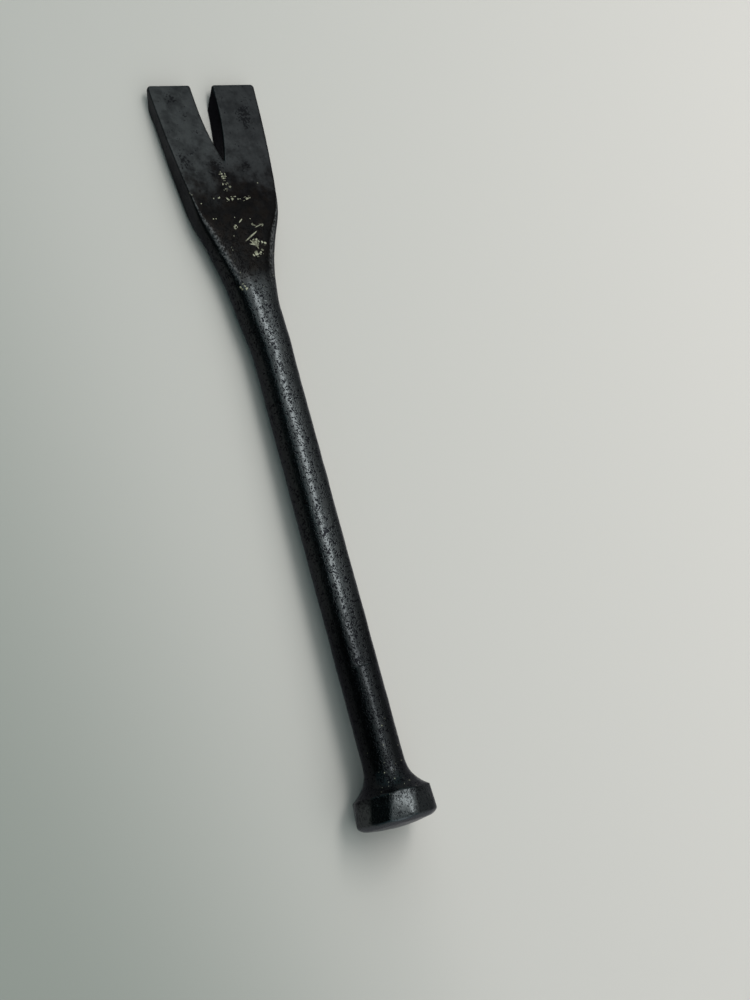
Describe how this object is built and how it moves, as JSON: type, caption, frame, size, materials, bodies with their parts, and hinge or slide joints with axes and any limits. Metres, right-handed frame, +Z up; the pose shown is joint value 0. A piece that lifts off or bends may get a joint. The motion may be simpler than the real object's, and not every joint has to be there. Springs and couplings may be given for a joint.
{
  "type": "pry bar",
  "caption": "Short forged steel pry bar: round shank, flared flat claw with a pointed nail notch at one end and a crowned round striking head at the other",
  "frame": {"origin": "centre of the bar's length and width, on the plane it rests on", "axes": "+X along the bar from the striking head to the claw's tip, +Y across the claw, +Z up from the bench"},
  "size_m": [0.305, 0.0464, 0.0314],
  "materials": {
    "forged_steel": "hammer-forged steel left with its black scale: pitted like orange peel, worn shiny on the high spots, a brown rust stain and a few cream paint flecks by the claw",
    "claw_steel": "flattened and dressed steel with a dark grey satin oxide, lightly mottled, with small pits in clusters"
  },
  "bodies": {
    "root": {"striking_head": "forged_steel", "shank": "forged_steel", "neck": "forged_steel", "claw_blade": "claw_steel", "left_tine": "claw_steel", "right_tine": "claw_steel"}
  },
  "joints": []
}
